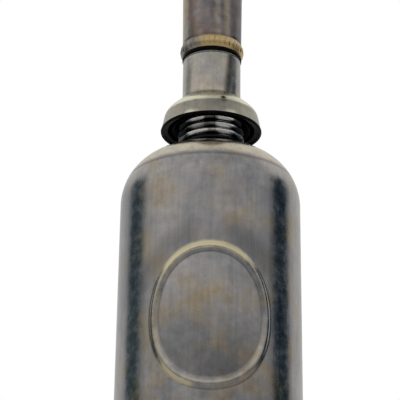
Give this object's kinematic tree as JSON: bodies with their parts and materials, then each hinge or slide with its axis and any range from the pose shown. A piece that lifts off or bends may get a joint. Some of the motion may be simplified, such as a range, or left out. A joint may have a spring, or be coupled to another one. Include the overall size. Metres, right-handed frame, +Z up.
{
  "type": "fuel sampler cup",
  "caption": "Slim metal bottle with a rounded shoulder and screw neck, closed by a hooded screw cap that carries a straight probe tube joined by a knurled ring, for draining fuel samples.",
  "frame": {"origin": "centre of the foot's resting face", "axes": "+Z up along the bottle's axis towards the probe tube's mouth, -Y towards the front with the oval bead"},
  "size_m": [0.0382, 0.0386, 0.1351],
  "materials": {
    "tarnished_plate": "tarnished nickel plate over brass, mottled, worn to yellow at raised edges",
    "worn_plate": "worn nickel plate over brass, coppery in places",
    "bare_brass": "bare brass, dulled",
    "dark_metal": "blackened brass, satin",
    "black_rubber": "black rubber, slightly glossy"
  },
  "bodies": {
    "bottle": {"bottle_shell": "tarnished_plate", "base_plate": "tarnished_plate", "neck": "dark_metal"},
    "cap_seal": {"cap_washer": "black_rubber"},
    "cap": {"hood": "worn_plate", "hood_trim": "black_rubber", "cap_nut": "dark_metal", "lower_tube": "worn_plate", "union_nipple": "bare_brass"},
    "union_seal": {"union_washer": "black_rubber"},
    "probe": {"union_ring": "bare_brass", "strainer": "bare_brass", "strainer_clip": "tarnished_plate", "upper_tube": "worn_plate", "probe_spider": "bare_brass", "probe_pin": "worn_plate", "pin_nut": "bare_brass"}
  },
  "joints": [
    {"name": "cap_rise", "type": "slide", "parent": "bottle", "child": "cap_seal", "axis": [0, 0, 1], "range_m": [0, 0.00397]},
    {"name": "cap_turn", "type": "hinge", "parent": "cap_seal", "child": "cap", "pos_m": [0, 0, 0.0806], "axis": [0, 0, 1], "range_deg": [0, 900]},
    {"name": "union_rise", "type": "slide", "parent": "cap", "child": "union_seal", "axis": [0, 0, 1], "range_m": [0, 0.00344]},
    {"name": "union_turn", "type": "hinge", "parent": "union_seal", "child": "probe", "pos_m": [0, 0, 0.0948], "axis": [0, 0, 1], "range_deg": [0, 990]}
  ],
  "couplings": [
    {"joint": "cap_rise", "follows": "cap_turn", "m_per_rad": 0.00025266},
    {"joint": "union_rise", "follows": "union_turn", "m_per_rad": 0.00019894}
  ]
}
